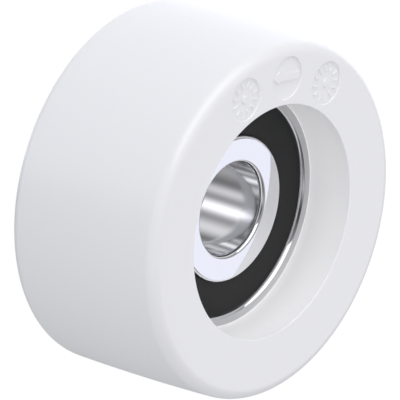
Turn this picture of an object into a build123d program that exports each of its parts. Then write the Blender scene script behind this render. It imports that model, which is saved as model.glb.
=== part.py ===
from build123d import *
import os
from math import cos, radians, sin, sqrt

# A conveyor roller: a soft tread moulded over a hard hub, on one sealed ball bearing.
# Sizes are in millimetres. The roller stands on its rear end face, with its origin at
# the middle of that face, and +Z runs along the axis to the front face.

# Tread
tread_diameter = 49.2  # over the crown, at mid-width
roller_width = 24.8
crown_rise = 0.22  # mid-width over the ends
shoulder_radius = 1.6
face_wrap = 1.0  # tread over each end of the hub
wall_ratio = 1.15  # tread's wall, from the hub's teeth to the crown, over the hub's wall

# Round pockets in the front face, where a moulding tool holds its marking inserts
mark_count = 3
mark_spacing = 25.0  # degrees
mark_turn = 91.0  # the middle pocket's direction, in degrees from +X
mark_depth = 0.25
mark_margin_in = 0.75  # to the recess
mark_margin_out = 0.05  # to the shoulder

# Bearing, 12.7 x 32 x 10
bearing_bore = 12.7
bearing_diameter = 32.0
bearing_width = 10.0
bore_corner = 0.4
inner_corner = 0.42
outer_corner = 0.1
ring_face = 1.06  # width of the outer ring's flat end
mouth_slope = 0.29  # how far the outer ring's mouth narrows down to the seal

# Balls and raceways
ball_count = 8
ball_diameter = 5.556
ball_play = 0.02  # ball to each raceway
raceway_ratio = 0.52  # groove radius over ball diameter
pitch_shift = 0.425  # ball circle outside the middle of the rings' section
shoulder_offset = 1.6  # ball circle to each ring's shoulder

# Riveted ribbon cage
cage_wall = 0.4
cage_half_band = 1.0  # radially, each side of the ball circle
pocket_play = 0.06
rivet_radius = 0.4
rivet_head_radius = 0.75
rivet_head_height = 0.3

# Seals, rubber moulded on a steel washer
seal_depth = 0.64  # below the rings' end faces
seal_thickness = 0.74
seal_groove = 0.3  # the outer ring's groove behind its mouth
groove_slope = 0.2  # end of the groove's slope, as a fraction of the seal's thickness
groove_floor = 0.55  # end of its floor, the same way
groove_end = 0.8
seal_lip_gap = 0.05  # to the inner ring, which turns against it
washer_wall = 0.3
washer_margin = 0.6  # rubber beyond each edge of the washer

# Hub
front_recess = 6.9  # front face to bearing
stop_height = 1.6  # shoulder behind the bearing
recess_relief = 0.05  # recess wide of the press seat, all round
tooth_height = 1.1
tooth_count = 14
tooth_gap = 3.2  # between two teeth of a row
row_width = 3.6
row_count = 4

same_size = 0.01  # widest error when an edge is picked by its size or place

# Worked out from the sizes above
tread_radius = tread_diameter / 2
end_radius = tread_radius - crown_rise
ring_radius = bearing_diameter / 2
bore_radius = bearing_bore / 2
half_width = bearing_width / 2
bearing_front = roller_width - front_recess
bearing_rear = bearing_front - bearing_width
bearing_middle = bearing_front - half_width
recess_radius = ring_radius + recess_relief
rear_bore_radius = ring_radius - stop_height
hub_wall = (tread_radius - ring_radius) / (1 + wall_ratio)
hub_radius = ring_radius + hub_wall
web_radius = hub_radius - tooth_height
hub_top = roller_width - face_wrap

ball_radius = ball_diameter / 2
pitch_radius = (bore_radius + ring_radius) / 2 + pitch_shift
inner_shoulder = pitch_radius - shoulder_offset
outer_shoulder = pitch_radius + shoulder_offset
groove_radius = raceway_ratio * ball_diameter
inner_track = pitch_radius - ball_radius - ball_play
outer_track = pitch_radius + ball_radius + ball_play
groove_offset = groove_radius - (ball_radius + ball_play)
groove_half = sqrt(groove_radius**2 - (shoulder_offset + groove_offset) ** 2)

seal_front_z = half_width - seal_depth
seal_back_z = seal_front_z - seal_thickness
mouth_radius = ring_radius - ring_face
seal_radius = mouth_radius - mouth_slope

# The seal's rim and the ring's groove share these points, from the mouth to the step.
rim = [
    (seal_radius, seal_front_z),
    (seal_radius + seal_groove, seal_front_z - groove_slope * seal_thickness),
    (seal_radius + seal_groove, seal_front_z - groove_floor * seal_thickness),
    (seal_radius, seal_front_z - groove_end * seal_thickness),
    (seal_radius, seal_back_z),
]


# The same outline on the bearing's other side, in the opposite order
def flipped(points):
    return [(r, -z) for r, z in reversed(points)]


bearing_plane = Plane.XY.offset(bearing_middle)
bearing_section = Plane(origin=(0, 0, bearing_middle), x_dir=(1, 0, 0), z_dir=(0, -1, 0))

os.makedirs("parts", exist_ok=True)

# Hub: a moulded sleeve with a seat and a stop for the bearing. Its rows of teeth stand
# half a pitch apart, so that the tread can neither turn nor slide on it.
with BuildPart() as hub_core:
    with BuildSketch(Plane.XZ):
        with BuildLine():
            Polyline(
                (rear_bore_radius, face_wrap),
                (web_radius, face_wrap),
                (web_radius, hub_top),
                (recess_radius, hub_top),
                (recess_radius, bearing_front),
                (ring_radius, bearing_front),
                (ring_radius, bearing_rear),
                (rear_bore_radius, bearing_rear),
                close=True,
            )
        make_face()
    revolve(axis=Axis.Z)
    row_pitch = (hub_top - face_wrap - row_width) / (row_count - 1)
    for row in range(row_count):
        with BuildSketch(Plane.XY.offset(face_wrap + row * row_pitch)):
            Circle(hub_radius)
            Circle(web_radius, mode=Mode.SUBTRACT)
            half_step = 180 / tooth_count * (row % 2)
            with PolarLocations(hub_radius, tooth_count, start_angle=half_step):
                Rectangle(4 * tooth_height, tooth_gap, mode=Mode.SUBTRACT)
        extrude(amount=row_width)
hub_core.part.label = "hub_core"
export_step(hub_core.part, "parts/hub_core.step")

# Tread: crowned, moulded over the hub and both its ends, flush with its bores
with BuildPart() as tread:
    with BuildSketch(Plane.XZ):
        with BuildLine():
            Line((rear_bore_radius, 0), (end_radius, 0))
            ThreePointArc(
                (end_radius, 0),
                (tread_radius, roller_width / 2),
                (end_radius, roller_width),
            )
            Polyline(
                (end_radius, roller_width),
                (recess_radius, roller_width),
                (recess_radius, bearing_front),
                (rear_bore_radius, bearing_front),
                (rear_bore_radius, 0),
            )
        make_face()
    revolve(axis=Axis.Z)
    shoulders = tread.edges().filter_by(GeomType.CIRCLE)
    fillet([e for e in shoulders if abs(e.radius - end_radius) < same_size], radius=shoulder_radius)
    add(hub_core.part, mode=Mode.SUBTRACT)
    with BuildSketch(Plane.XY.offset(bearing_rear)):
        Circle(ring_radius)
    extrude(amount=bearing_width, mode=Mode.SUBTRACT)
    mark_radius = (end_radius - shoulder_radius - mark_margin_out - recess_radius - mark_margin_in) / 2
    mark_circle = recess_radius + mark_margin_in + mark_radius
    first_mark = mark_turn - mark_spacing * (mark_count - 1) / 2
    with BuildSketch(Plane.XY.offset(roller_width)):
        with PolarLocations(
            mark_circle, mark_count, start_angle=first_mark,
            angular_range=mark_spacing * (mark_count - 1), endpoint=True,
        ):
            Circle(mark_radius)
    extrude(amount=-mark_depth, mode=Mode.SUBTRACT)
tread.part.label = "tread"
export_step(tread.part, "parts/tread.step")

# Outer ring: raceway, two shoulders, and a groove behind each mouth for a seal's rim
outer_mouth = [
    (ring_radius, half_width - outer_corner),
    (ring_radius - outer_corner, half_width),
    (mouth_radius, half_width),
    *rim,
    (outer_shoulder, seal_back_z),
    (outer_shoulder, groove_half),
]
with BuildPart() as outer_ring:
    with BuildSketch(bearing_section):
        with BuildLine():
            Polyline(*outer_mouth)
            ThreePointArc(
                (outer_shoulder, groove_half), (outer_track, 0), (outer_shoulder, -groove_half)
            )
            Polyline(*flipped(outer_mouth))
            Line((ring_radius, outer_corner - half_width), (ring_radius, half_width - outer_corner))
        make_face()
    revolve(axis=Axis.Z)
outer_ring.part.label = "outer_ring"
export_step(outer_ring.part, "parts/outer_ring.step")

# Inner ring: held on the axle, with rounded corners at the bore and at the shoulders
with BuildPart() as inner_ring:
    with BuildSketch(bearing_section):
        with BuildLine():
            Polyline(
                (inner_shoulder, -groove_half),
                (inner_shoulder, -half_width),
                (bore_radius, -half_width),
                (bore_radius, half_width),
                (inner_shoulder, half_width),
                (inner_shoulder, groove_half),
            )
            ThreePointArc(
                (inner_shoulder, groove_half), (inner_track, 0), (inner_shoulder, -groove_half)
            )
        make_face()
    revolve(axis=Axis.Z)
    ends = inner_ring.edges().filter_by(GeomType.CIRCLE)
    ends = [e for e in ends if abs(abs(e.center().Z - bearing_middle) - half_width) < same_size]
    fillet([e for e in ends if e.radius < bore_radius + same_size], radius=bore_corner)
    ends = inner_ring.edges().filter_by(GeomType.CIRCLE)
    fillet([e for e in ends if abs(e.radius - inner_shoulder) < same_size
            and abs(abs(e.center().Z - bearing_middle) - half_width) < same_size], radius=inner_corner)
inner_ring.part.label = "inner_ring"
export_step(inner_ring.part, "parts/inner_ring.step")

# Balls
ball_step = 360 / ball_count
for number in range(ball_count):
    turn = radians(number * ball_step)
    with BuildPart(bearing_plane) as ball:
        with Locations((pitch_radius * cos(turn), pitch_radius * sin(turn))):
            Sphere(ball_radius)
    ball.part.label = f"ball_{number + 1}"
    export_step(ball.part, f"parts/{ball.part.label}.step")

# Cage: two pressed ribbons, domed over the balls and flat where their rivets pass
pocket_radius = ball_radius + pocket_play
with BuildPart(bearing_plane) as cage_front:
    Cylinder(
        pitch_radius + cage_half_band, cage_wall, align=(Align.CENTER, Align.CENTER, Align.MIN)
    )
    with PolarLocations(pitch_radius, ball_count):
        Sphere(pocket_radius + cage_wall)
    with BuildSketch(bearing_plane):
        Circle(pitch_radius + cage_half_band)
        Circle(pitch_radius - cage_half_band, mode=Mode.SUBTRACT)
    extrude(amount=pocket_radius + 2 * cage_wall, mode=Mode.INTERSECT)
    with PolarLocations(pitch_radius, ball_count):
        Sphere(pocket_radius, mode=Mode.SUBTRACT)
    with PolarLocations(pitch_radius, ball_count, start_angle=ball_step / 2):
        Cylinder(rivet_radius, 4 * cage_wall, mode=Mode.SUBTRACT)
cage_front.part.label = "cage_front"
export_step(cage_front.part, "parts/cage_front.step")

with BuildPart() as cage_rear:
    mirror(cage_front.part, about=bearing_plane)
cage_rear.part.label = "cage_rear"
export_step(cage_rear.part, "parts/cage_rear.step")

with BuildPart(bearing_plane) as cage_rivets:
    with PolarLocations(pitch_radius, ball_count, start_angle=ball_step / 2):
        Cylinder(rivet_radius, 2 * cage_wall)
        with Locations((0, 0, cage_wall)):
            Cone(
                rivet_head_radius,
                rivet_head_radius - rivet_head_height,
                rivet_head_height,
                align=(Align.CENTER, Align.CENTER, Align.MIN),
            )
        with Locations((0, 0, -cage_wall)):
            Cone(
                rivet_head_radius - rivet_head_height,
                rivet_head_radius,
                rivet_head_height,
                align=(Align.CENTER, Align.CENTER, Align.MAX),
            )
cage_rivets.part.label = "cage_rivets"
export_step(cage_rivets.part, "parts/cage_rivets.step")

# Seals: the rubber fills the outer ring's groove, and its lip runs close to the inner ring
lip_radius = inner_shoulder + seal_lip_gap
washer_inner = lip_radius + washer_margin
washer_outer = seal_radius - washer_margin
washer_top = seal_back_z + washer_wall
with BuildPart(bearing_plane) as seal_front:
    with BuildSketch(bearing_section):
        with BuildLine():
            Polyline(
                *rim,
                (washer_outer, seal_back_z),
                (washer_outer, washer_top),
                (washer_inner, washer_top),
                (washer_inner, seal_back_z),
                (lip_radius + washer_wall, seal_back_z),
                (lip_radius, washer_top),
                (lip_radius, seal_front_z),
                close=True,
            )
        make_face()
    revolve(axis=Axis.Z)
with BuildPart() as seal_front_washer:
    with BuildSketch(bearing_plane.offset(seal_back_z)):
        Circle(washer_outer)
        Circle(washer_inner, mode=Mode.SUBTRACT)
    extrude(amount=washer_wall)

seals = {"seal_front": seal_front.part, "seal_front_washer": seal_front_washer.part}
for name, shape in seals.items():
    with BuildPart() as rear:
        mirror(shape, about=bearing_plane)
    rear.part.label = name.replace("front", "rear")
    export_step(rear.part, f"parts/{rear.part.label}.step")
    shape.label = name
    export_step(shape, f"parts/{name}.step")
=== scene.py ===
from math import acos, asin, ceil, cos, degrees, pi, radians, sin, sqrt, tan

import bmesh
import bpy
from mathutils import Matrix, Quaternion, Vector


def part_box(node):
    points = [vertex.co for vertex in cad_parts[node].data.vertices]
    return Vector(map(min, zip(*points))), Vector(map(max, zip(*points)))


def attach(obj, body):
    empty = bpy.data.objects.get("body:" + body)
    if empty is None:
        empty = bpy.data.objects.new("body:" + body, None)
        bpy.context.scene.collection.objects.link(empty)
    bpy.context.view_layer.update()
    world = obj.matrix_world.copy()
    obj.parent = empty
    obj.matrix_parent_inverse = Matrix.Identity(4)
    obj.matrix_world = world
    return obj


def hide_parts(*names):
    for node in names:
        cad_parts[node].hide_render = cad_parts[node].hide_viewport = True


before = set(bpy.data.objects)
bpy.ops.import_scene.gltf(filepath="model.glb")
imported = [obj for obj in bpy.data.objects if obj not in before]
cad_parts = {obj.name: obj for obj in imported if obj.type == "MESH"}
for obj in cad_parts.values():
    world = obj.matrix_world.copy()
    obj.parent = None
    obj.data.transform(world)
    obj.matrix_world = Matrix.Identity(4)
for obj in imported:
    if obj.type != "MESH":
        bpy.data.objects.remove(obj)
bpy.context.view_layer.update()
mm = 0.001  # the pieces' sizes below are in millimetres, and angles in degrees

# Heights along the axis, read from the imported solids
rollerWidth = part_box("tread")[1].z / mm
ringRear, ringFront = (corner.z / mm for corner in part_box("outer_ring"))
ringMiddle = (ringRear + ringFront) / 2
print("frame loaded:", len(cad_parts), "nodes")


# Turns an sRGB colour, given as hex digits, into linear light
def linearColour(hexText):
    parts = [int(hexText[i:i + 2], 16) / 255 for i in (0, 2, 4)]
    return [p / 12.92 if p <= 0.04045 else ((p + 0.055) / 1.055) ** 2.4 for p in parts] + [1.0]


# Adds a node with its settings; each input is a value or the socket that feeds it
def addNode(tree, kind, inputs=None, **settings):
    node = tree.nodes.new(kind)
    for name, value in settings.items():
        setattr(node, name, value)
    for place, source in (inputs or {}).items():
        if isinstance(source, bpy.types.NodeSocket):
            tree.links.new(source, node.inputs[place])
        else:
            node.inputs[place].default_value = source
    return node


# The camera stands where the photograph was taken from, square on with no perspective
camera = {
    "axisFromView": 53.45,  # degrees between the roller's axis and the line of sight
    "axisBelowLevel": 17.46,  # the front end points right and this far down
    "azimuth": 162.54,  # where the camera stands round the axis, from +X
    "pixelsPerMm": 7.574,
    "frontCentre": (272.1, 222.1),  # the front face's centre in the 400-pixel picture
    "pictureSize": 400,
    "distance": 0.4, "nearest": 0.01, "farthest": 10,  # metres
}


def placeCamera(c):
    lean, roll, turn = radians(c["axisFromView"]), radians(c["axisBelowLevel"]), radians(c["azimuth"])
    back = Vector((sin(lean) * cos(turn), sin(lean) * sin(turn), cos(lean)))
    along = (Vector((0, 0, 1)) - cos(lean) * back) / sin(lean)
    across = back.cross(along)
    right = cos(roll) * along + sin(roll) * across
    up = -sin(roll) * along + cos(roll) * across
    pixel = mm / c["pixelsPerMm"]
    half = c["pictureSize"] / 2
    frontFace = Vector((0, 0, rollerWidth * mm))
    target = frontFace + (half - c["frontCentre"][0]) * pixel * right
    target -= (half - c["frontCentre"][1]) * pixel * up
    data = bpy.data.cameras.new("camera")
    data.type = "ORTHO"
    data.ortho_scale = c["pictureSize"] * pixel
    data.clip_start = c["nearest"]
    data.clip_end = c["farthest"]
    view = bpy.data.objects.new("camera", data)
    bpy.context.scene.collection.objects.link(view)
    axes = Matrix((right, up, back)).transposed().to_4x4()
    view.matrix_world = Matrix.Translation(target + c["distance"] * back) @ axes
    bpy.context.scene.camera = view


placeCamera(camera)
print("camera placed")


# A material and its shader, with the shader's constant values
def newMaterial(name, colour, constants):
    made = bpy.data.materials.new(name)
    made.use_nodes = True
    tree = made.node_tree
    tree.nodes.clear()
    shader = addNode(tree, "ShaderNodeBsdfPrincipled", {"Base Color": linearColour(colour), **constants})
    addNode(tree, "ShaderNodeOutputMaterial", {"Surface": shader.outputs[0]})
    return made, tree, shader


# Fine grain that a moulded surface takes from its mould; the real one is too fine to show, so it
# is drawn coarser
def addGrain(tree, shader, place, look):
    grain = addNode(tree, "ShaderNodeTexNoise", {
        "Vector": place, "Scale": 1 / (look["grain"] * mm), "Detail": 2.0,
    })
    bump = addNode(tree, "ShaderNodeBump", {
        "Strength": look["strength"], "Distance": look["grainDepth"] * mm, "Height": grain.outputs[0],
    })
    tree.links.new(bump.outputs[0], shader.inputs["Normal"])


# Thermoplastic urethane, injection moulded against a lightly eroded steel mould: white with a
# soft sheen, fine grain and slow changes of gloss
urethane = {
    "colour": "F9F9FA", "ior": 1.5, "roughness": 0.3, "spread": 0.02, "cloud": 6.0,
    "grain": 0.35, "grainDepth": 0.004, "strength": 0.25,
}


def mouldedUrethane(u):
    made, tree, shader = newMaterial("mouldedUrethane", u["colour"], {"IOR": u["ior"]})
    place = addNode(tree, "ShaderNodeTexCoord").outputs["Object"]
    cloud = addNode(tree, "ShaderNodeTexNoise", {
        "Vector": place, "Scale": 1 / (u["cloud"] * mm), "Detail": 3.0,
    })
    gloss = addNode(tree, "ShaderNodeMapRange", {
        "Value": cloud.outputs[0],
        "To Min": u["roughness"] - u["spread"], "To Max": u["roughness"] + u["spread"],
    })
    tree.links.new(gloss.outputs[0], shader.inputs["Roughness"])
    addGrain(tree, shader, place, u)
    return made


# Polyamide, injection moulded: an even white with a finer grain and duller sheen than the tread
polyamide = {
    "colour": "FAFAFA", "ior": 1.53, "roughness": 0.4, "grain": 0.25, "grainDepth": 0.003, "strength": 0.2,
}
# Nitrile rubber, compression moulded: near black and dull, with a fine even grain
nitrile = {
    "colour": "131314", "ior": 1.45, "roughness": 0.62, "grain": 0.15, "grainDepth": 0.006, "strength": 0.3,
}


def evenMoulding(name, look):
    made, tree, shader = newMaterial(name, look["colour"], {
        "IOR": look["ior"], "Roughness": look["roughness"],
    })
    addGrain(tree, shader, addNode(tree, "ShaderNodeTexCoord").outputs["Object"], look)
    return made


# Bearing steel, hardened and ground: mirror-flat on its end faces and softer in the bore, with
# faint grinding lines round the axis, drawn coarser than real ones, which are too fine to show
steel = {
    "colour": "E4E4E6",
    # Roughness of round and of flat surfaces, and how upright the normal is on each
    "round": 0.1, "flat": 0.03, "upright": (0.1, 0.95),
    "spread": 0.02, "lines": 0.12, "lineRange": (0.3, 0.7), "lineDepth": 0.0004, "strength": 0.1,
}
# The outer ring's faces are ground a grade duller, and its steel is painted darker than the other rings':
# painted shade for the greyer look of its flat faces
shadedDullSteel = {**steel, "colour": "CBCBCD", "flat": 0.06}


def groundBearingSteel(name, s):
    made, tree, shader = newMaterial(name, s["colour"], {"Metallic": 1.0})
    spot = addNode(tree, "ShaderNodeTexCoord")
    parts = addNode(tree, "ShaderNodeSeparateXYZ", {0: spot.outputs["Object"]})
    flat = addNode(tree, "ShaderNodeCombineXYZ", {0: parts.outputs[0], 1: parts.outputs[1]})
    fromAxis = addNode(tree, "ShaderNodeVectorMath", {0: flat.outputs[0]}, operation="LENGTH")
    rings = addNode(tree, "ShaderNodeCombineXYZ", {0: fromAxis.outputs["Value"], 2: parts.outputs[2]})
    lines = addNode(tree, "ShaderNodeTexNoise", {
        "Vector": rings.outputs[0], "Scale": 1 / (s["lines"] * mm), "Detail": 2.0,
    })
    facing = addNode(tree, "ShaderNodeSeparateXYZ", {0: spot.outputs["Normal"]})
    upright = addNode(tree, "ShaderNodeMath", {0: facing.outputs[2]}, operation="ABSOLUTE")
    grade = addNode(tree, "ShaderNodeMapRange", {
        "Value": upright.outputs[0], "From Min": s["upright"][0], "From Max": s["upright"][1],
        "To Min": s["round"], "To Max": s["flat"],
    })
    gloss = addNode(tree, "ShaderNodeMapRange", {
        "Value": lines.outputs[0], "From Min": s["lineRange"][0], "From Max": s["lineRange"][1],
        "To Min": -s["spread"], "To Max": s["spread"],
    })
    both = addNode(tree, "ShaderNodeMath", {0: grade.outputs[0], 1: gloss.outputs[0]}, operation="ADD")
    tree.links.new(both.outputs[0], shader.inputs["Roughness"])
    bump = addNode(tree, "ShaderNodeBump", {
        "Strength": s["strength"], "Distance": s["lineDepth"] * mm, "Height": lines.outputs[0],
    })
    tree.links.new(bump.outputs[0], shader.inputs["Normal"])
    return made


# Bearing steel, lapped: a clear mirror with the faintest haze
balls = {"colour": "E8E8EA", "roughness": (0.04, 0.08), "haze": 1.0}


def lappedBallSteel(b):
    made, tree, shader = newMaterial("lappedBallSteel", b["colour"], {"Metallic": 1.0})
    place = addNode(tree, "ShaderNodeTexCoord").outputs["Object"]
    haze = addNode(tree, "ShaderNodeTexNoise", {
        "Vector": place, "Scale": 1 / (b["haze"] * mm), "Detail": 2.0,
    })
    gloss = addNode(tree, "ShaderNodeMapRange", {
        "Value": haze.outputs[0], "To Min": b["roughness"][0], "To Max": b["roughness"][1],
    })
    tree.links.new(gloss.outputs[0], shader.inputs["Roughness"])
    return made


# Low-carbon steel sheet, blanked and pressed: grey and half matt with rolling streaks
sheet = {
    "colour": "B9B8B5", "roughness": 0.34, "spread": 0.08, "streak": 0.2, "stretch": (0.1, 1.0, 1.0),
}


def pressedSheetSteel(p):
    made, tree, shader = newMaterial("pressedSheetSteel", p["colour"], {"Metallic": 1.0})
    place = addNode(tree, "ShaderNodeTexCoord").outputs["Object"]
    drawn = addNode(tree, "ShaderNodeMapping", {"Vector": place, "Scale": p["stretch"]})
    streaks = addNode(tree, "ShaderNodeTexNoise", {
        "Vector": drawn.outputs[0], "Scale": 1 / (p["streak"] * mm), "Detail": 2.0,
    })
    gloss = addNode(tree, "ShaderNodeMapRange", {
        "Value": streaks.outputs[0],
        "To Min": p["roughness"] - p["spread"], "To Max": p["roughness"] + p["spread"],
    })
    tree.links.new(gloss.outputs[0], shader.inputs["Roughness"])
    return made


treadWhite = mouldedUrethane(urethane)
hubWhite = evenMoulding("mouldedPolyamide", polyamide)
ringSteel = groundBearingSteel("groundBearingSteel", steel)
# The outer ring's darker steel colour is painted shade
shadedOuterSteel = groundBearingSteel("dullGroundSteelPaintedShade", shadedDullSteel)
ballSteel = lappedBallSteel(balls)
cageSteel = pressedSheetSteel(sheet)
sealBlack = evenMoulding("mouldedNitrile", nitrile)
print("materials made")


# Points of an outline given as (radius, height, rounding) corners in millimetres
def roundedOutline(corners, stepDegrees=5):
    points = []
    for i, (r, z, rounding) in enumerate(corners):
        here = Vector((r, z))
        before = (Vector(corners[i - 1][:2]) - here).normalized()
        after = (Vector(corners[(i + 1) % len(corners)][:2]) - here).normalized()
        if not rounding:
            points.append(here)
            continue
        between = before.angle(after)
        inset = rounding / tan(between / 2)
        centre = here + (before + after).normalized() * rounding / sin(between / 2)
        first = here + before * inset - centre
        sweep = pi - between
        turnLeft = 1 if first.x * (here - centre).y - first.y * (here - centre).x > 0 else -1
        count = max(2, ceil(degrees(sweep) / stepDegrees))
        for k in range(count + 1):
            turn = turnLeft * sweep * k / count
            points.append(centre + Vector((
                first.x * cos(turn) - first.y * sin(turn), first.x * sin(turn) + first.y * cos(turn),
            )))
    return points


def newTree(name, inputs):
    tree = bpy.data.node_groups.new(name, "GeometryNodeTree")
    for label, kind in inputs.items():
        tree.interface.new_socket(name=label, in_out="INPUT", socket_type="NodeSocket" + kind)
    tree.interface.new_socket(name="Geometry", in_out="OUTPUT", socket_type="NodeSocketGeometry")
    return tree, addNode(tree, "NodeGroupInput").outputs


flatLimit = 0.9999  # upright part of the normal from which a face counts as square to the axis


# Every tree ends here: faces square to the axis shade flat, the rest smoothly up to a sharp bend
def endTree(tree, given, geometry):
    facing = addNode(tree, "ShaderNodeSeparateXYZ", {0: addNode(tree, "GeometryNodeInputNormal").outputs[0]})
    upright = addNode(tree, "ShaderNodeMath", {0: facing.outputs[2]}, operation="ABSOLUTE")
    curved = addNode(tree, "FunctionNodeCompare", {0: upright.outputs[0], 1: flatLimit},
                     operation="LESS_THAN", data_type="FLOAT")
    smooth = addNode(tree, "GeometryNodeSetShadeSmooth", {
        "Geometry": geometry, "Shade Smooth": curved.outputs[0],
    })
    bend = addNode(tree, "GeometryNodeInputMeshEdgeAngle")
    gentle = addNode(tree, "FunctionNodeCompare", {0: bend.outputs[0], 1: given["Sharp Angle"]},
                     operation="LESS_THAN", data_type="FLOAT")
    edges = addNode(tree, "GeometryNodeSetShadeSmooth", {
        "Geometry": smooth.outputs[0], "Shade Smooth": gentle.outputs[0],
    }, domain="EDGE")
    single = addNode(tree, "GeometryNodeRealizeInstances", {"Geometry": edges.outputs[0]})
    dressed = addNode(tree, "GeometryNodeSetMaterial", {
        "Geometry": single.outputs[0], "Material": given["Material"],
    })
    addNode(tree, "NodeGroupOutput", {"Geometry": dressed.outputs[0]})
    return tree


# Turns a section round the axis: its curve is swept along a circle
def makeTurningTree():
    tree, given = newTree("turnedPiece", {
        "Section": "Object", "Sweep Radius": "Float", "Segments": "Int", "Sharp Angle": "Float",
        "Material": "Material",
    })
    section = addNode(tree, "GeometryNodeObjectInfo", {"Object": given["Section"]})
    circle = addNode(tree, "GeometryNodeCurvePrimitiveCircle", {
        "Resolution": given["Segments"], "Radius": given["Sweep Radius"],
    })
    upright = addNode(tree, "GeometryNodeSetCurveNormal", {"Curve": circle.outputs[0]}, mode="Z_UP")
    swept = addNode(tree, "GeometryNodeCurveToMesh", {
        "Curve": upright.outputs[0], "Profile Curve": section.outputs["Geometry"],
    })
    return endTree(tree, given, swept.outputs[0])


# Sets a shape round the axis, in rows that stand one above another, odd rows turned by a shift
def makeRingTree():
    tree, given = newTree("shapesInRings", {
        "Shape": "Object", "Count": "Int", "Rows": "Int", "First": "Float", "Step": "Float", "Reach": "Float",
        "Rise": "Float", "Shift": "Float", "Sharp Angle": "Float", "Material": "Material",
    })
    shape = addNode(tree, "GeometryNodeObjectInfo", {"Object": given["Shape"]})
    # Each value is worked out from inputs, values above it and numbers
    values = {socket.name: socket for socket in given}
    values["index"] = addNode(tree, "GeometryNodeInputIndex").outputs[0]
    for name, operation, *terms in (
        ("total", "MULTIPLY", "Count", "Rows"),
        ("middle", "ADD", "index", 0.5),
        ("passed", "DIVIDE", "middle", "Count"),
        ("row", "FLOOR", "passed"),
        ("before", "MULTIPLY", "row", "Count"),
        ("place", "SUBTRACT", "index", "before"),
        ("odd", "MODULO", "row", 2.0),
        ("rowFirst", "MULTIPLY_ADD", "odd", "Shift", "First"),
        ("turn", "MULTIPLY_ADD", "place", "Step", "rowFirst"),
        ("cosine", "COSINE", "turn"),
        ("sine", "SINE", "turn"),
        ("x", "MULTIPLY", "Reach", "cosine"),
        ("y", "MULTIPLY", "Reach", "sine"),
        ("z", "MULTIPLY", "row", "Rise"),
    ):
        sources = {place: values.get(term, term) for place, term in enumerate(terms)}
        values[name] = addNode(tree, "ShaderNodeMath", sources, operation=operation).outputs[0]
    points = addNode(tree, "GeometryNodePoints", {"Count": values["total"]})
    spot = addNode(tree, "ShaderNodeCombineXYZ", {0: values["x"], 1: values["y"], 2: values["z"]})
    moved = addNode(tree, "GeometryNodeSetPosition", {
        "Geometry": points.outputs[0], "Position": spot.outputs[0],
    })
    turned = addNode(tree, "ShaderNodeCombineXYZ", {2: values["turn"]})
    placed = addNode(tree, "GeometryNodeInstanceOnPoints", {
        "Points": moved.outputs[0], "Instance": shape.outputs["Geometry"], "Rotation": turned.outputs[0],
    })
    return endTree(tree, given, placed.outputs[0])


# Takes one shape out of a body and adds another to it
def makeCarvingTree():
    tree, given = newTree("carvedPiece", {
        "Body": "Object", "Cut": "Object", "Raised": "Object", "Sharp Angle": "Float", "Material": "Material",
    })
    body, cut, raised = (
        addNode(tree, "GeometryNodeObjectInfo", {"Object": given[name]}).outputs["Geometry"]
        for name in ("Body", "Cut", "Raised")
    )
    carved = addNode(tree, "GeometryNodeMeshBoolean", {"Mesh 1": body, "Mesh 2": cut},
                     operation="DIFFERENCE", solver="EXACT")
    grown = addNode(tree, "GeometryNodeMeshBoolean", {"Mesh 2": carved.outputs[0]},
                    operation="UNION", solver="EXACT")
    tree.links.new(raised, grown.inputs["Mesh 2"])
    return endTree(tree, given, grown.outputs[0])


turningTree = makeTurningTree()
ringTree = makeRingTree()
carvingTree = makeCarvingTree()
sharpAngle = radians(28)


def inputIdentifier(tree, name):
    return next(s.identifier for s in tree.interface.items_tree if s.name == name and s.in_out == "INPUT")


# Runs a tree on an empty mesh and keeps its result as a plain mesh object
def growPiece(name, tree, inputs):
    carrier = bpy.data.objects.new(name + "Carrier", bpy.data.meshes.new(name + "Carrier"))
    bpy.context.scene.collection.objects.link(carrier)
    modifier = carrier.modifiers.new("grow", "NODES")
    modifier.node_group = tree
    for key, value in {"Sharp Angle": sharpAngle, **inputs}.items():
        modifier[inputIdentifier(tree, key)] = value
    bpy.context.view_layer.update()
    graph = bpy.context.evaluated_depsgraph_get()
    mesh = bpy.data.meshes.new_from_object(carrier.evaluated_get(graph), depsgraph=graph)
    mesh.name = name
    bpy.data.objects.remove(carrier)
    made = bpy.data.objects.new(name, mesh)
    bpy.context.scene.collection.objects.link(made)
    return made


sweepRadius = 12.0  # of the circle that sections are swept along; they are drawn from there
sweepSegments = 360


def turnPiece(name, outline, material):
    # A section that runs clockwise turns into a surface that faces outwards
    if sum(a.x * b.y - b.x * a.y for a, b in zip(outline, outline[1:] + outline[:1])) > 0:
        outline = outline[::-1]
    data = bpy.data.curves.new(name + "Section", "CURVE")
    data.dimensions = "3D"
    spline = data.splines.new("POLY")
    spline.points.add(len(outline) - 1)
    spline.use_cyclic_u = True
    for point, (r, z) in zip(spline.points, outline):
        point.co = ((r - sweepRadius) * mm, -z * mm, 0, 1)
    section = bpy.data.objects.new(name + "Section", data)
    bpy.context.scene.collection.objects.link(section)
    made = growPiece(name, turningTree, {
        "Section": section, "Sweep Radius": sweepRadius * mm, "Segments": sweepSegments,
        "Material": material,
    })
    bpy.data.objects.remove(section)
    return made


# Closed shape through rings of points, from the lowest up; its top edge may be rounded
def stackRings(name, rings, rounding=0.0):
    shape = bmesh.new()
    loops = [[shape.verts.new([c * mm for c in point]) for point in ring] for ring in rings]
    shape.faces.new(reversed(loops[0]))
    shape.faces.new(loops[-1])
    count = len(loops[0])
    for low, high in zip(loops, loops[1:]):
        for k in range(count):
            after = (k + 1) % count
            shape.faces.new((low[k], low[after], high[after], high[k]))
    if rounding:
        top = [shape.edges.get((loops[-1][k - 1], loops[-1][k])) for k in range(count)]
        bmesh.ops.bevel(shape, geom=top, offset=rounding * mm, segments=2, profile=0.5, affect="EDGES")
    return keepMesh(name, shape)


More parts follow.
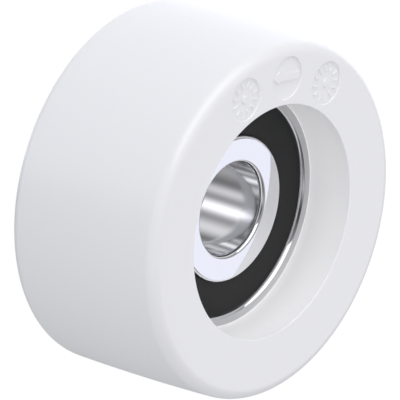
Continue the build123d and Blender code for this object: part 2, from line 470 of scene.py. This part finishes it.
def keepMesh(name, shape):
    mesh = bpy.data.meshes.new(name)
    shape.to_mesh(mesh)
    shape.free()
    made = bpy.data.objects.new(name, mesh)
    bpy.context.scene.collection.objects.link(made)
    return made


def joinPieces(name, pieces):
    shape = bmesh.new()
    for piece in pieces:
        shape.from_mesh(piece.data)
        bpy.data.objects.remove(piece)
    return keepMesh(name, shape)


# Copies of a shape in rings; the shape itself is used up
def spreadShape(name, shape, count, first=0.0, step=None, reach=0.0, rows=1, rise=0.0, shift=0.0):
    made = growPiece(name, ringTree, {
        "Shape": shape, "Count": count, "Rows": rows, "First": radians(first),
        "Step": radians(step or 360 / count), "Reach": reach * mm, "Rise": rise * mm, "Shift": radians(shift),
    })
    bpy.data.objects.remove(shape)
    return made


def carvePiece(name, body, material, cut=None, raised=None):
    tools = {"Body": body, "Cut": cut, "Raised": raised}
    tools = {key: tool for key, tool in tools.items() if tool}
    made = growPiece(name, carvingTree, {**tools, "Material": material})
    for tool in tools.values():
        bpy.data.objects.remove(tool)
    return made


def circlePoints(radius, height, count):
    turns = [2 * pi * k / count for k in range(count)]
    return [(radius * cos(t), radius * sin(t), height) for t in turns]


def finishPiece(piece, body, node):
    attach(piece, body)
    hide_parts(node)


# Hub, with teeth that lock the tread; they stand in rows, each half a pitch on from the last
hub = {
    "web": 18.9, "outside": 20.0,  # radius between the teeth and over them
    "recess": 16.05, "seat": 16.0, "stopBore": 14.4,  # radius before, round and behind the bearing
    "wrap": 1.0,  # thickness of the tread over the hub's ends
    "toothCount": 14, "toothGap": 3.2, "rowWidth": 3.6, "rowCount": 4, "arcSteps": 16,
    "root": 0.4,  # how deep the teeth start inside the web
}


def makeTeeth(h):
    pitch = 2 * pi / h["toothCount"]
    outline = []
    for radius, forward in ((h["web"] - h["root"], False), (h["outside"], True)):
        reach = pitch / 2 - asin(h["toothGap"] / 2 / radius)
        steps = h["arcSteps"]
        turns = [pitch / 2 + reach * (2 * k / steps - 1) for k in range(steps + 1)]
        arc = [(radius * cos(t), radius * sin(t)) for t in turns]
        outline += arc if forward else arc[::-1]
    low = h["wrap"]
    block = stackRings("hubTooth", [[(x, y, z) for x, y in outline] for z in (low, low + h["rowWidth"])])
    rise = (rollerWidth - 2 * h["wrap"] - h["rowWidth"]) / (h["rowCount"] - 1)
    return spreadShape("hubTeeth", block, h["toothCount"], rows=h["rowCount"], rise=rise,
                       shift=180 / h["toothCount"])


def makeHub(h):
    w = rollerWidth
    corners = [
        (h["stopBore"], h["wrap"], 0), (h["web"], h["wrap"], 0), (h["web"], w - h["wrap"], 0),
        (h["recess"], w - h["wrap"], 0), (h["recess"], ringFront, 0), (h["seat"], ringFront, 0),
        (h["seat"], ringRear, 0), (h["stopBore"], ringRear, 0),
    ]
    sleeve = turnPiece("hubSleeve", roundedOutline(corners), hubWhite)
    piece = carvePiece("hubCore", sleeve, hubWhite, raised=makeTeeth(h))
    finishPiece(piece, "roller", "hub_core")


makeHub(hub)
print("hub turned")

# Tread, moulded round the hub and over its ends
tread = {
    "crownRadius": 24.59, "crownRise": 0.22, "crownFrom": 2.4, "crownSteps": 12,
    "shoulder": 1.6, "mouthEdge": 0.12,
    # Points on the flat faces, in from the shoulders and out from the recess
    "rearFlat": 3.0, "frontFlat": 2.0, "recessFlat": 0.3,
    "rearBore": hub["stopBore"], "recess": hub["recess"], "cavity": hub["web"], "wrap": hub["wrap"],
}
# Round pockets that a mould's inserts leave in the front face
marks = {
    "count": 3, "middle": 91.0, "step": 25.0,  # azimuth of the middle one, and from one to the next
    "circle": 19.77, "radius": 2.965, "depth": 0.25, "sides": 72,
    "edge": 0.07, "edgeSteps": 3, "floorEdge": 0.06, "floorBend": 0.3,
    "relief": 0.19, "softEdge": 0.05,
    "above": 0.5, "below": 0.1,  # how far the cuts and the relief pass the surfaces that they meet
    # Arrow across the middle pocket: tip, head's root, half width of head and shaft, shaft's end
    "tip": -3.43, "head": -1.91, "headHalf": 0.925, "shaftHalf": 0.525, "end": 2.24, "arrowLine": 19.935,
    # Dial ticks in the other two
    "tickCount": 12, "tickFrom": 1.65, "tickTo": 2.5, "tickHalf": 0.13, "hubDot": 0.55, "dotSides": 24,
}


def makePockets(m):
    r, low = m["radius"], rollerWidth - m["depth"]
    foot, bend = m["floorEdge"], m["floorBend"] * m["floorEdge"]
    wall = [(r - foot, low), (r - bend, low + bend), (r, low + foot)]
    for k in range(m["edgeSteps"] + 1):
        turn = pi / 2 * k / m["edgeSteps"]
        wall.append((r + m["edge"] * (1 - cos(turn)), rollerWidth - m["edge"] * (1 - sin(turn))))
    wall.append((r + m["edge"], rollerWidth + m["above"]))
    pocket = stackRings("pocket", [circlePoints(x, z, m["sides"]) for x, z in wall])
    return spreadShape("pockets", pocket, m["count"], m["middle"] - m["step"], m["step"], m["circle"])


def makeRelief(m):
    root = rollerWidth - m["depth"] - m["below"]
    top = rollerWidth - m["depth"] + m["relief"]

    def raiseUp(name, outline):
        return stackRings(name, [[(x, y, z) for x, y in outline] for z in (root, top)], m["softEdge"])

    line, head, shaft = m["arrowLine"], m["headHalf"], m["shaftHalf"]
    half = [(m["tip"], 0), (m["head"], -head), (m["head"], -shaft), (m["end"], -shaft)]
    outline = [(x, line + y) for x, y in half] + [(x, line - y) for x, y in reversed(half[1:])]
    arrow = raiseUp("arrow", outline)
    ends = ((m["tickFrom"], -1), (m["tickTo"], -1), (m["tickTo"], 1), (m["tickFrom"], 1))
    tick = raiseUp("tick", [(x, side * m["tickHalf"]) for x, side in ends])
    dial = spreadShape("dial", tick, m["tickCount"])
    dot = raiseUp("dot", [point[:2] for point in circlePoints(m["hubDot"], 0, m["dotSides"])])
    dial = joinPieces("dial", [dial, dot])
    dials = spreadShape("dials", dial, 2, m["middle"] - m["step"], 2 * m["step"], m["circle"])
    return joinPieces("relief", [arrow, dials])


def makeTread(t):
    w = rollerWidth
    bow = ((w / 2) ** 2 + t["crownRise"] ** 2) / (2 * t["crownRise"])
    ends = t["crownRadius"] - t["crownRise"]
    corners = [(t["rearBore"], 0, t["mouthEdge"]), (ends - t["rearFlat"], 0, 0), (ends, 0, t["shoulder"])]
    low, steps = t["crownFrom"], t["crownSteps"]
    for k in range(steps + 1):
        z = low + (w - 2 * low) * k / steps
        corners.append((t["crownRadius"] - bow + sqrt(bow ** 2 - (z - w / 2) ** 2), z, 0))
    corners += [
        (ends, w, t["shoulder"]), (ends - t["frontFlat"], w, 0), (t["recess"] + t["recessFlat"], w, 0),
        (t["recess"], w, t["mouthEdge"]), (t["recess"], w - t["wrap"], 0),
        (t["cavity"], w - t["wrap"], 0), (t["cavity"], t["wrap"], 0), (t["rearBore"], t["wrap"], 0),
    ]
    blank = turnPiece("treadBlank", roundedOutline(corners), treadWhite)
    cut = joinPieces("cuts", [makeTeeth(hub), makePockets(marks)])
    piece = carvePiece("treadBody", blank, treadWhite, cut, makeRelief(marks))
    finishPiece(piece, "roller", "tread")


makeTread(tread)
print("tread turned")

# Bearing, as the half width that its pieces share and the grooves that its balls run in
bearing = {
    "half": 5.0, "ballCircle": 11.6,
    # Groove's radius seen in section, and how far its floor lies from the ball circle
    "grooveRadius": 2.889, "grooveFloor": 2.798, "grooveSteps": 24,
}
# Seals: rubber round a steel washer, with a lip that runs just clear of the inner ring
seal = {
    "edge": 14.63, "depth": 0.57, "thickness": 0.81,
    # Rim that the outer ring holds: how far it reaches out, and its bends as shares of the thickness
    "rim": 0.32, "rimFrom": 0.2, "rimBend": 0.55, "rimTo": 0.8,
    "lipGap": 0.05, "washerWall": 0.3, "washerMargin": 0.6,
}


# The groove's points; side is 1 on the inner ring and -1 on the outer
def groovePoints(b, shoulder, side):
    radius, steps = b["grooveRadius"], b["grooveSteps"]
    centre = b["ballCircle"] + side * (radius - b["grooveFloor"])
    reach = acos(abs(centre - shoulder) / radius)
    turns = [reach * (1 - 2 * k / steps) for k in range(steps + 1)]
    return [(centre - side * radius * cos(t), ringMiddle + radius * sin(t), 0) for t in turns]


def rimPoints(b, s):
    edge, out = s["edge"], s["edge"] + s["rim"]
    z, thick = b["half"] - s["depth"], s["thickness"]
    return [
        (edge, z), (out, z - s["rimFrom"] * thick), (out, z - s["rimBend"] * thick),
        (edge, z - s["rimTo"] * thick), (edge, z - thick),
    ]


outerRing = {
    "outside": 16.0, "corner": 0.04, "shoulder": 13.2, "shoulderCorner": 0.1,
    # The mouth from the flat down to the seal, as radius and drop: it steepens all the way
    "mouth": [
        (14.96, 0.0), (14.9433, 0.0139), (14.9275, 0.029), (14.9127, 0.0452),
        (14.861, 0.1096), (14.8126, 0.1768), (14.7705, 0.242), (14.7423, 0.2898),
        (14.7307, 0.312), (14.7204, 0.3349), (14.6888, 0.4127), (14.6587, 0.491),
    ],
}


def makeOuterRing(r, b, s):
    half = b["half"]
    side = [(r["outside"], half, r["corner"])]
    side += [(x, half - drop, 0) for x, drop in r["mouth"]]
    side += [(x, z, 0) for x, z in rimPoints(b, s)]
    side.append((r["shoulder"], half - s["depth"] - s["thickness"], r["shoulderCorner"]))
    corners = [(x, ringMiddle + z, q) for x, z, q in side]
    corners += groovePoints(b, r["shoulder"], -1)
    corners += [(x, ringMiddle - z, q) for x, z, q in reversed(side)]
    piece = turnPiece("outerRace", roundedOutline(corners), shadedOuterSteel)
    finishPiece(piece, "roller", "outer_ring")


makeOuterRing(outerRing, bearing, seal)

innerRing = {
    "shoulder": 10.0, "corner": 0.42, "bore": 6.35, "boreCorner": 0.4,
    # The front mouth of the bore bends as a quarter of an ellipse: its size across and along the bore
    "boreMouth": (0.47, 0.8), "boreSteps": 15,
}


def makeInnerRing(r, b):
    half, steps = b["half"], r["boreSteps"]
    across, along = r["boreMouth"]
    turns = [radians(90 * k / steps) for k in range(steps + 1)]
    mouth = [(r["bore"] + across * (1 - cos(a)), half - along * (1 - sin(a)), 0) for a in turns]
    corners = [(x, ringMiddle + z, q) for x, z, q in mouth]
    corners.append((r["shoulder"], ringMiddle + half, r["corner"]))
    corners += groovePoints(b, r["shoulder"], 1)
    corners.append((r["shoulder"], ringMiddle - half, r["corner"]))
    corners.append((r["bore"], ringMiddle - half, r["boreCorner"]))
    piece = turnPiece("innerRace", roundedOutline(corners), ringSteel)
    finishPiece(piece, "bearing_inner", "inner_ring")


makeInnerRing(innerRing, bearing)
print("rings turned")


def makeSeals(s, b):
    front = b["half"] - s["depth"]
    back = front - s["thickness"]
    lip = innerRing["shoulder"] + s["lipGap"]
    washerTop = back + s["washerWall"]
    outline = rimPoints(b, s) + [
        (s["edge"] - s["washerMargin"], back), (s["edge"] - s["washerMargin"], washerTop),
        (lip + s["washerMargin"], washerTop), (lip + s["washerMargin"], back),
        (lip + s["washerWall"], back), (lip, washerTop), (lip, front),
    ]
    for name, node, side in (("sealLipFront", "seal_front", 1), ("sealLipRear", "seal_rear", -1)):
        points = [Vector((x, ringMiddle + side * z)) for x, z in outline]
        finishPiece(turnPiece(name, points, sealBlack), "roller", node)


makeSeals(seal, bearing)
print("seals turned")

# Inner pieces keep their solids and take their finish; of the seals these are the washers
finishes = {"ball": ballSteel, "cage": cageSteel, "seal": cageSteel}
for name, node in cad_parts.items():
    for start, material in finishes.items():
        if name.startswith(start):
            node.data.materials.clear()
            node.data.materials.append(material)
print("inner pieces finished")

# Studio: the roller stands on an opal light table, in a soft tent lit from a few sides
tent = {
    "colour": "FCFCFF",
    # Lobes of light on the cloth: azimuth, height, level, power; the higher the power, the narrower
    "cast": {"level": 0.0, "lobes": [
        (203, 8, 1.4, 5), (252, 58, 1.16, 5), (342, 8, 0.83, 5), (28, 32, 0.82, 5), (72, 8, 1.29, 5),
        (120, 8, 2.2, 5),
    ]},
    # What polished steel mirrors: the dark place that the camera stands in, a bright and a dark one
    # beside it that edges draw as lines, and below, through the opening in the table, a dark ground
    # with five lit cards
    "mirrored": {"level": 0.42, "lobes": [
        (180, 34, -0.38, 22), (206, 36, 0.55, 70), (244, 34, -0.27, 10), (0, -90, -0.64, 1),
        (102, -36, 0.86, 15), (156, -36, 1.5, 39), (197, -36, 0.76, 45), (256, -36, 0.41, 9),
        (50, -36, 0.37, 60),
    ]},
}
table = {
    "size": 3.0,  # metres
    "surface": "626262", "seenGlow": 0.93, "castGlow": 0.385, "castTint": "F5F8FF",
    # Mirrored rays see it bright on one side of the roller and dark on the other
    "brightSide": 1.3, "darkSide": 0.4, "sideTurn": 84.0, "sideBlend": (-2.0, 4.0),
    # Round opening under the roller, which its bore mirrors the cards through
    "opening": 14.3, "underGlow": 0.6, "beam": 3.2, "beamTurn": 156.0, "beamPower": 50.0,
}
lamps = {
    # A blue-white panel that the bearing's flat faces mirror
    "facePanel": {"azimuth": -17.5, "height": 36.5, "size": (0.2, 0.2), "level": 0.79, "colour": "ECEFFF"},
    # A long card that only draws its line of light along polished edges
    "edgeCard": {"azimuth": 106, "height": 30, "size": (0.7, 0.42), "roll": 15, "level": 2.0,
                 "onlyMirrored": True},
    # A small round fill in front of the recess, too near to light anything else
    "recessFill": {"azimuth": 0, "height": 90, "size": (0.02, 0.02), "distance": 0.0136, "level": 1.23,
                   "neverMirrored": True},
}
lampDistance = 0.5  # metres, as are the lamps' sizes and distances


def makeTable(s):
    mesh = bpy.data.meshes.new("studioFloor")
    half = s["size"] / 2
    corners = [(-half, -half, 0), (half, -half, 0), (half, half, 0), (-half, half, 0)]
    mesh.from_pydata(corners, [], [(0, 1, 2, 3)])
    floor = bpy.data.objects.new("studioFloor", mesh)
    bpy.context.scene.collection.objects.link(floor)
    made = bpy.data.materials.new("opalAcrylicTable")
    made.use_nodes = True
    tree = made.node_tree
    tree.nodes.clear()
    rays = addNode(tree, "ShaderNodeLightPath")
    place = addNode(tree, "ShaderNodeSeparateXYZ", {0: addNode(tree, "ShaderNodeTexCoord").outputs["Object"]})
    flat = addNode(tree, "ShaderNodeCombineXYZ", {0: place.outputs[0], 1: place.outputs[1]})
    fromAxis = addNode(tree, "ShaderNodeVectorMath", {0: flat.outputs[0]}, operation="LENGTH")
    under = addNode(tree, "ShaderNodeMath", {0: fromAxis.outputs["Value"], 1: s["opening"] * mm},
                    operation="LESS_THAN")
    side = radians(s["sideTurn"])
    ahead = addNode(tree, "ShaderNodeVectorMath", {0: flat.outputs[0], 1: (cos(side), sin(side), 0)},
                    operation="DOT_PRODUCT")
    sides = addNode(tree, "ShaderNodeMapRange", {
        "Value": ahead.outputs["Value"],
        "From Min": s["sideBlend"][0] * mm, "From Max": s["sideBlend"][1] * mm,
        "To Min": s["darkSide"], "To Max": s["brightSide"],
    })
    # A narrow beam under the roller lights the rear recess on the side of the brightest card
    beam = radians(s["beamTurn"])
    outward = addNode(tree, "ShaderNodeVectorMath", {0: flat.outputs[0]}, operation="NORMALIZE")
    aimed = addNode(tree, "ShaderNodeVectorMath", {0: outward.outputs[0], 1: (cos(beam), sin(beam), 0)},
                    operation="DOT_PRODUCT")
    kept = addNode(tree, "ShaderNodeMath", {0: aimed.outputs["Value"], 1: 0.0}, operation="MAXIMUM")
    narrowed = addNode(tree, "ShaderNodeMath", {0: kept.outputs[0], 1: s["beamPower"]}, operation="POWER")
    lit = addNode(tree, "ShaderNodeMath", {
        0: narrowed.outputs[0], 1: s["beam"], 2: s["underGlow"],
    }, operation="MULTIPLY_ADD")
    plain = addNode(tree, "ShaderNodeMix", {
        0: under.outputs[0], 2: s["castGlow"], 3: lit.outputs[0],
    }, data_type="FLOAT")
    cast = addNode(tree, "ShaderNodeMix", {
        0: rays.outputs["Is Glossy Ray"], 2: plain.outputs[0], 3: sides.outputs[0],
    }, data_type="FLOAT")
    level = addNode(tree, "ShaderNodeMix", {
        0: rays.outputs["Is Camera Ray"], 2: cast.outputs[0], 3: s["seenGlow"],
    }, data_type="FLOAT")
    tint = addNode(tree, "ShaderNodeMix", {
        0: rays.outputs["Is Camera Ray"], 6: linearColour(s["castTint"]), 7: (1, 1, 1, 1),
    }, data_type="RGBA")
    glow = addNode(tree, "ShaderNodeEmission", {"Color": tint.outputs[2], "Strength": level.outputs[0]})
    sheetTop = addNode(tree, "ShaderNodeBsdfDiffuse", {"Color": linearColour(s["surface"])})
    both = addNode(tree, "ShaderNodeAddShader", {0: sheetTop.outputs[0], 1: glow.outputs[0]})
    seenThrough = addNode(tree, "ShaderNodeMath", {0: under.outputs[0], 1: rays.outputs["Is Glossy Ray"]},
                          operation="MULTIPLY")
    clear = addNode(tree, "ShaderNodeBsdfTransparent")
    opened = addNode(tree, "ShaderNodeMixShader", {
        0: seenThrough.outputs[0], 1: both.outputs[0], 2: clear.outputs[0],
    })
    addNode(tree, "ShaderNodeOutputMaterial", {"Surface": opened.outputs[0]})
    mesh.materials.append(made)


def addLobes(tree, look, light):
    total = light["level"]
    for azimuth, height, level, power in light["lobes"]:
        a, h = radians(azimuth), radians(height)
        towards = addNode(tree, "ShaderNodeVectorMath", {
            0: look, 1: (cos(h) * cos(a), cos(h) * sin(a), sin(h)),
        }, operation="DOT_PRODUCT")
        ahead = addNode(tree, "ShaderNodeMath", {0: towards.outputs["Value"], 1: 0.0}, operation="MAXIMUM")
        lobe = addNode(tree, "ShaderNodeMath", {0: ahead.outputs[0], 1: power}, operation="POWER")
        total = addNode(tree, "ShaderNodeMath", {
            0: lobe.outputs[0], 1: level, 2: total,
        }, operation="MULTIPLY_ADD").outputs[0]
    return total


def makeTent(s):
    world = bpy.data.worlds.new("studioTent")
    bpy.context.scene.world = world
    world.use_nodes = True
    tree = world.node_tree
    tree.nodes.clear()
    look = addNode(tree, "ShaderNodeTexCoord").outputs["Generated"]
    rays = addNode(tree, "ShaderNodeLightPath")
    level = addNode(tree, "ShaderNodeMix", {
        0: rays.outputs["Is Glossy Ray"],
        2: addLobes(tree, look, s["cast"]), 3: addLobes(tree, look, s["mirrored"]),
    }, data_type="FLOAT")
    cloth = addNode(tree, "ShaderNodeBackground", {
        "Color": linearColour(s["colour"]), "Strength": level.outputs[0],
    })
    white = addNode(tree, "ShaderNodeBackground", {"Color": (1, 1, 1, 1), "Strength": 1.0})
    both = addNode(tree, "ShaderNodeMixShader", {
        0: rays.outputs["Is Camera Ray"], 1: cloth.outputs[0], 2: white.outputs[0],
    })
    addNode(tree, "ShaderNodeOutputWorld", {"Surface": both.outputs[0]})


def addSoftbox(name, lamp):
    data = bpy.data.lights.new(name, "AREA")
    data.shape = "ELLIPSE" if lamp.get("neverMirrored") else "RECTANGLE"
    data.size, data.size_y = lamp["size"]
    face = data.size * data.size_y * (pi / 4 if data.shape == "ELLIPSE" else 1)
    data.energy = lamp["level"] * pi * face  # level is the lit face's own brightness
    data.color = linearColour(lamp.get("colour", "FFFFFF"))[:3]
    made = bpy.data.objects.new(name, data)
    bpy.context.scene.collection.objects.link(made)
    made.visible_camera = False
    made.visible_diffuse = not lamp.get("onlyMirrored")
    made.visible_glossy = not lamp.get("neverMirrored")
    turn, rise = radians(lamp["azimuth"]), radians(lamp["height"])
    towards = Vector((cos(rise) * cos(turn), cos(rise) * sin(turn), sin(rise)))
    made.location = towards * lamp.get("distance", lampDistance) + Vector((0, 0, rollerWidth / 2 * mm))
    made.rotation_mode = "QUATERNION"
    aim = towards.to_track_quat("Z", "Y")
    made.rotation_quaternion = aim @ Quaternion((0, 0, 1), radians(lamp.get("roll", 0)))


makeTable(table)
makeTent(tent)
for name, lamp in lamps.items():
    addSoftbox(name, lamp)
bpy.context.scene.view_settings.view_transform = "Standard"
print("studio lit")
